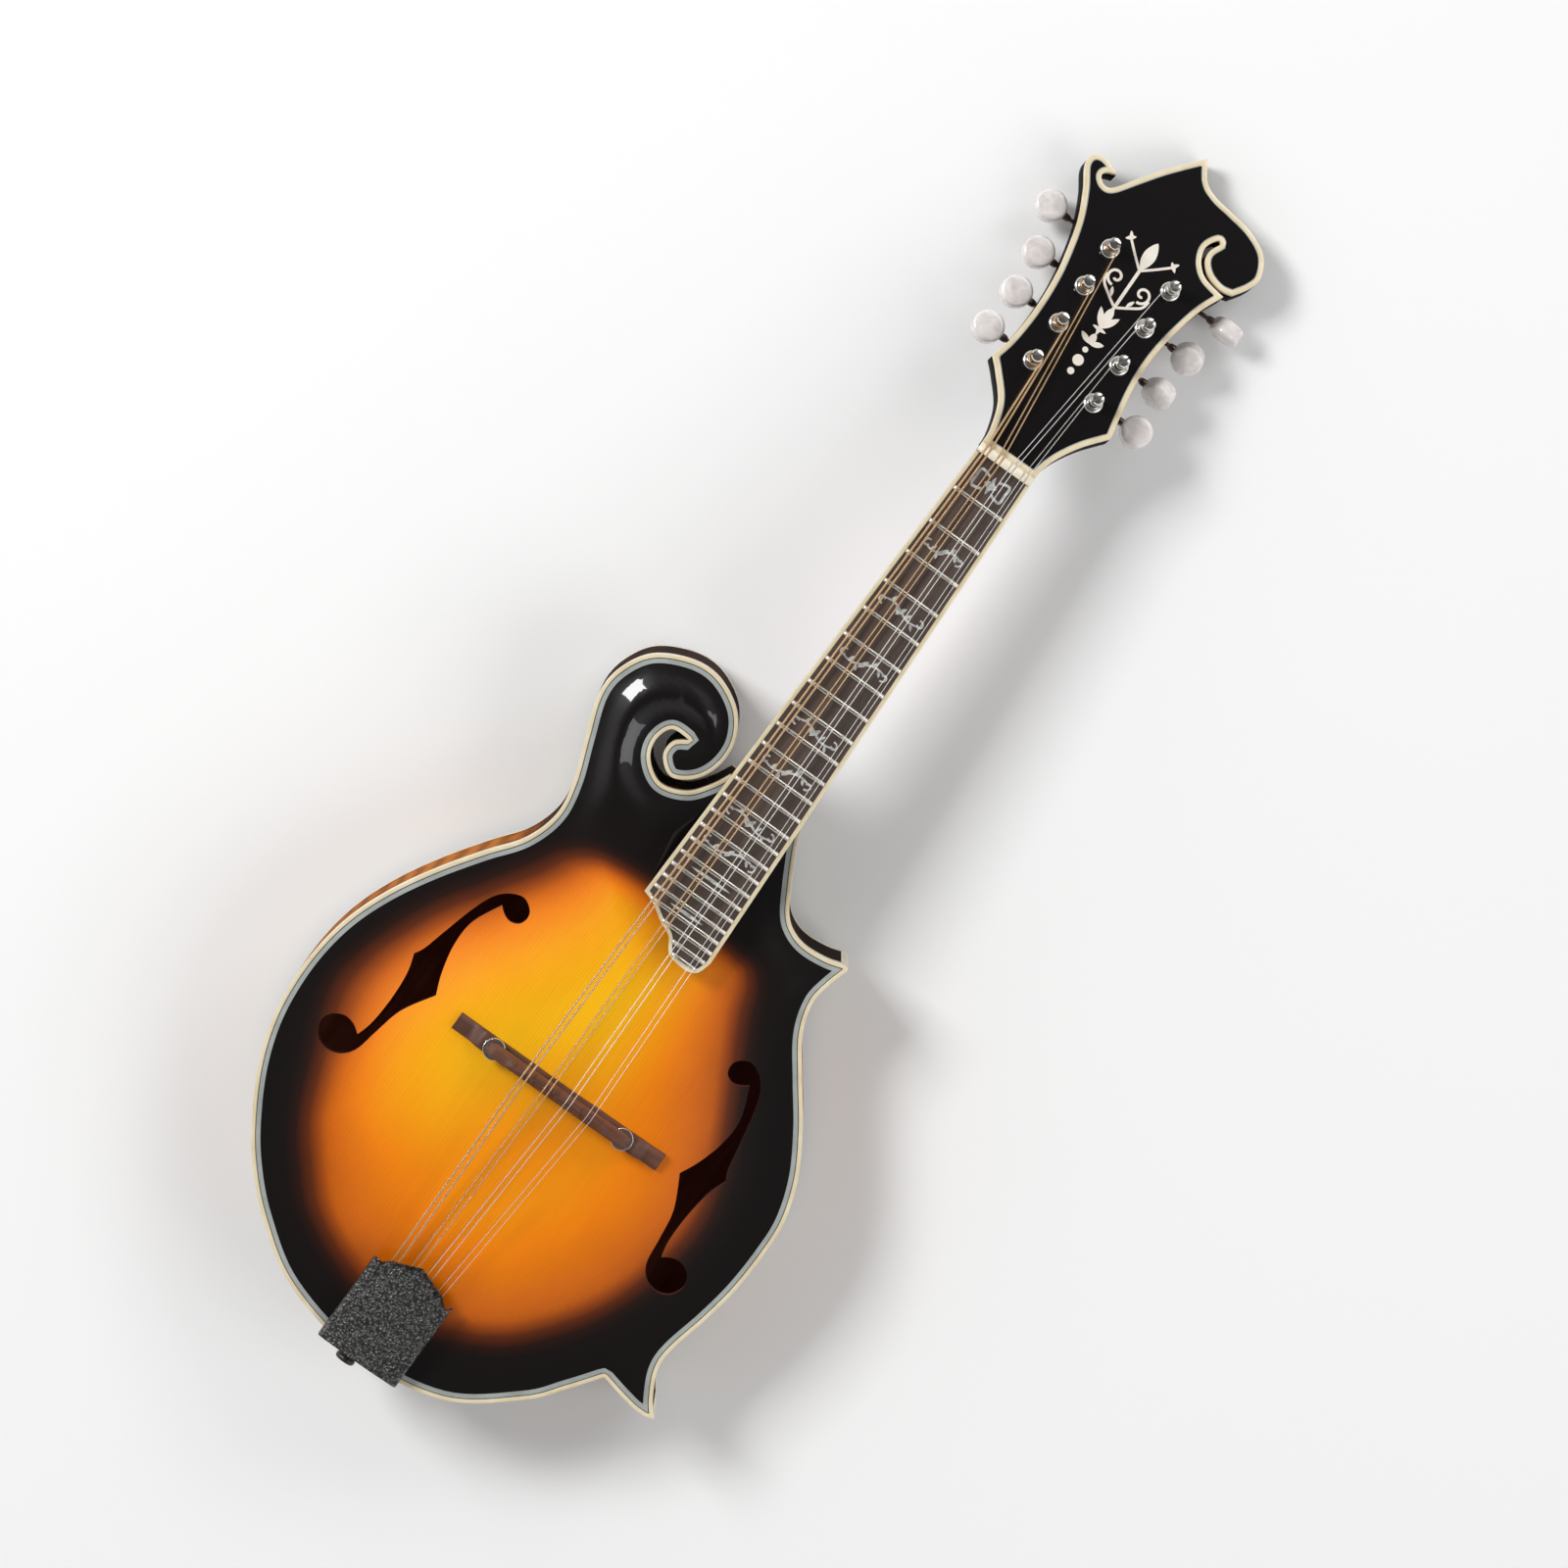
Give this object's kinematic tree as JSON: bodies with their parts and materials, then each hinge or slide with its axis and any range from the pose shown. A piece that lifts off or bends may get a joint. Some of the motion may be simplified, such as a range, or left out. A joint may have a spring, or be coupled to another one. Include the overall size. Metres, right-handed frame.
{
  "type": "mandolin",
  "caption": "Scroll-body mandolin with an arched sunburst soundboard, two f-holes, paired strings, geared tuners, an adjustable bridge and a slide-off tailpiece cover.",
  "frame": {"origin": "on the flat crown of the back, on the neck's centreline, straight below the saddle's string line", "axes": "+Y along the neck to the headstock, +X to the treble side, +Z out of the soundboard; it lies on its back on a horizontal surface"},
  "size_m": [0.2553, 0.6908, 0.0894],
  "materials": {
    "spruce_top": "sunburst lacquer, gloss",
    "maple_stained": "dark stained lacquer, gloss",
    "bare_wood": "unfinished",
    "ebony": "oiled",
    "rosewood": "oiled",
    "black_lacquer": "gloss",
    "celluloid": "polished",
    "bone": "polished",
    "nickel": "polished",
    "dark_steel": "plain",
    "black_metal": "embossed, gloss black",
    "pearloid": "pearl swirl",
    "steel_wire": "plain drawn wire",
    "bronze_wire": "wound"
  },
  "bodies": {
    "instrument": {"soundboard": "spruce_top", "back_plate": "maple_stained", "rib_bass": "maple_stained", "rib_lower": "maple_stained", "rib_waist": "maple_stained", "rib_upper": "maple_stained", "lower_point_cap": "celluloid", "upper_point_cap": "celluloid", "top_binding": "celluloid", "back_binding": "celluloid", "top_lining_bass": "bare_wood", "top_lining_treble": "bare_wood", "back_lining_bass": "bare_wood", "back_lining_treble": "bare_wood", "head_block": "bare_wood", "tail_block": "bare_wood", "tone_bar_bass": "bare_wood", "tone_bar_treble": "bare_wood", "neck": "maple_stained", "neck_bar": "dark_steel", "headstock_overlay": "black_lacquer", "headstock_binding": "celluloid", "fretboard": "ebony", "fretboard_binding": "celluloid", "nut": "bone", "bridge_base": "rosewood", "bridge_post_bass": "nickel", "bridge_post_treble": "nickel", "tailpiece_base": "black_metal", "strap_button": "ebony", "tuner_plate_bass": "nickel", "tuner_plate_treble": "nickel", "string_g1": "bronze_wire", "string_g2": "bronze_wire", "string_d1": "bronze_wire", "string_d2": "bronze_wire", "string_a1": "steel_wire", "string_a2": "steel_wire", "string_e1": "steel_wire", "string_e2": "steel_wire"},
    "saddle": {"bridge_saddle": "rosewood"},
    "thumbwheel_bass": {"thumbwheel_bass": "nickel"},
    "thumbwheel_treble": {"thumbwheel_treble": "nickel"},
    "tailpiece_cover": {"tailpiece_cover": "black_metal"},
    "tuner_key_bass_1": {"tuner_key_bass_1": "pearloid"},
    "tuner_post_bass_1": {"tuner_post_bass_1": "nickel"},
    "tuner_key_bass_2": {"tuner_key_bass_2": "pearloid"},
    "tuner_post_bass_2": {"tuner_post_bass_2": "nickel"},
    "tuner_key_bass_3": {"tuner_key_bass_3": "pearloid"},
    "tuner_post_bass_3": {"tuner_post_bass_3": "nickel"},
    "tuner_key_bass_4": {"tuner_key_bass_4": "pearloid"},
    "tuner_post_bass_4": {"tuner_post_bass_4": "nickel"},
    "tuner_key_treble_1": {"tuner_key_treble_1": "pearloid"},
    "tuner_post_treble_1": {"tuner_post_treble_1": "nickel"},
    "tuner_key_treble_2": {"tuner_key_treble_2": "pearloid"},
    "tuner_post_treble_2": {"tuner_post_treble_2": "nickel"},
    "tuner_key_treble_3": {"tuner_key_treble_3": "pearloid"},
    "tuner_post_treble_3": {"tuner_post_treble_3": "nickel"},
    "tuner_key_treble_4": {"tuner_key_treble_4": "pearloid"},
    "tuner_post_treble_4": {"tuner_post_treble_4": "nickel"}
  },
  "joints": [
    {"name": "saddle_height", "type": "slide", "parent": "instrument", "child": "saddle", "axis": [0, 0, 1], "range_m": [-0.0015, 0]},
    {"name": "thumbwheel_bass_turn", "type": "hinge", "parent": "saddle", "child": "thumbwheel_bass", "pos_m": [-0.036, 0, 0.0792], "axis": [0, 0, 1], "range_deg": [-775, 5]},
    {"name": "thumbwheel_treble_turn", "type": "hinge", "parent": "saddle", "child": "thumbwheel_treble", "pos_m": [0.036, 0, 0.0792], "axis": [0, 0, 1], "range_deg": [-775, 5]},
    {"name": "cover_slide", "type": "slide", "parent": "instrument", "child": "tailpiece_cover", "axis": [0, 0.9898, 0.1424], "range_m": [0, 0.05]},
    {"name": "tuner_key_bass_1_turn", "type": "hinge", "parent": "instrument", "child": "tuner_key_bass_1", "pos_m": [-0.03, 0.40058, 0.03177], "axis": [1, 0, 0], "continuous": true},
    {"name": "tuner_post_bass_1_turn", "type": "hinge", "parent": "instrument", "child": "tuner_post_bass_1", "pos_m": [-0.017, 0.40026, 0.0497], "axis": [0, 0.284, 0.9588], "continuous": true},
    {"name": "tuner_key_bass_2_turn", "type": "hinge", "parent": "instrument", "child": "tuner_key_bass_2", "pos_m": [-0.03, 0.42129, 0.02564], "axis": [1, 0, 0], "continuous": true},
    {"name": "tuner_post_bass_2_turn", "type": "hinge", "parent": "instrument", "child": "tuner_post_bass_2", "pos_m": [-0.017, 0.42097, 0.04357], "axis": [0, 0.284, 0.9588], "continuous": true},
    {"name": "tuner_key_bass_3_turn", "type": "hinge", "parent": "instrument", "child": "tuner_key_bass_3", "pos_m": [-0.03, 0.442, 0.01951], "axis": [1, 0, 0], "continuous": true},
    {"name": "tuner_post_bass_3_turn", "type": "hinge", "parent": "instrument", "child": "tuner_post_bass_3", "pos_m": [-0.017, 0.44168, 0.03744], "axis": [0, 0.284, 0.9588], "continuous": true},
    {"name": "tuner_key_bass_4_turn", "type": "hinge", "parent": "instrument", "child": "tuner_key_bass_4", "pos_m": [-0.03, 0.46271, 0.01337], "axis": [1, 0, 0], "continuous": true},
    {"name": "tuner_post_bass_4_turn", "type": "hinge", "parent": "instrument", "child": "tuner_post_bass_4", "pos_m": [-0.017, 0.46239, 0.0313], "axis": [0, 0.284, 0.9588], "continuous": true},
    {"name": "tuner_key_treble_1_turn", "type": "hinge", "parent": "instrument", "child": "tuner_key_treble_1", "pos_m": [0.03, 0.40058, 0.03177], "axis": [1, 0, 0], "continuous": true},
    {"name": "tuner_post_treble_1_turn", "type": "hinge", "parent": "instrument", "child": "tuner_post_treble_1", "pos_m": [0.017, 0.40026, 0.0497], "axis": [0, 0.284, 0.9588], "continuous": true},
    {"name": "tuner_key_treble_2_turn", "type": "hinge", "parent": "instrument", "child": "tuner_key_treble_2", "pos_m": [0.03, 0.42129, 0.02564], "axis": [1, 0, 0], "continuous": true},
    {"name": "tuner_post_treble_2_turn", "type": "hinge", "parent": "instrument", "child": "tuner_post_treble_2", "pos_m": [0.017, 0.42097, 0.04357], "axis": [0, 0.284, 0.9588], "continuous": true},
    {"name": "tuner_key_treble_3_turn", "type": "hinge", "parent": "instrument", "child": "tuner_key_treble_3", "pos_m": [0.03, 0.442, 0.01951], "axis": [1, 0, 0], "continuous": true},
    {"name": "tuner_post_treble_3_turn", "type": "hinge", "parent": "instrument", "child": "tuner_post_treble_3", "pos_m": [0.017, 0.44168, 0.03744], "axis": [0, 0.284, 0.9588], "continuous": true},
    {"name": "tuner_key_treble_4_turn", "type": "hinge", "parent": "instrument", "child": "tuner_key_treble_4", "pos_m": [0.03, 0.46271, 0.01337], "axis": [1, 0, 0], "continuous": true},
    {"name": "tuner_post_treble_4_turn", "type": "hinge", "parent": "instrument", "child": "tuner_post_treble_4", "pos_m": [0.017, 0.46239, 0.0313], "axis": [0, 0.284, 0.9588], "continuous": true}
  ],
  "couplings": [
    {"joint": "thumbwheel_bass_turn", "follows": "saddle_height", "rad_per_m": 8976},
    {"joint": "thumbwheel_treble_turn", "follows": "saddle_height", "rad_per_m": 8976},
    {"joint": "tuner_post_bass_1_turn", "follows": "tuner_key_bass_1_turn", "ratio": 0.071429},
    {"joint": "tuner_post_bass_2_turn", "follows": "tuner_key_bass_2_turn", "ratio": 0.071429},
    {"joint": "tuner_post_bass_3_turn", "follows": "tuner_key_bass_3_turn", "ratio": 0.071429},
    {"joint": "tuner_post_bass_4_turn", "follows": "tuner_key_bass_4_turn", "ratio": 0.071429},
    {"joint": "tuner_post_treble_1_turn", "follows": "tuner_key_treble_1_turn", "ratio": 0.071429},
    {"joint": "tuner_post_treble_2_turn", "follows": "tuner_key_treble_2_turn", "ratio": 0.071429},
    {"joint": "tuner_post_treble_3_turn", "follows": "tuner_key_treble_3_turn", "ratio": 0.071429},
    {"joint": "tuner_post_treble_4_turn", "follows": "tuner_key_treble_4_turn", "ratio": 0.071429}
  ]
}
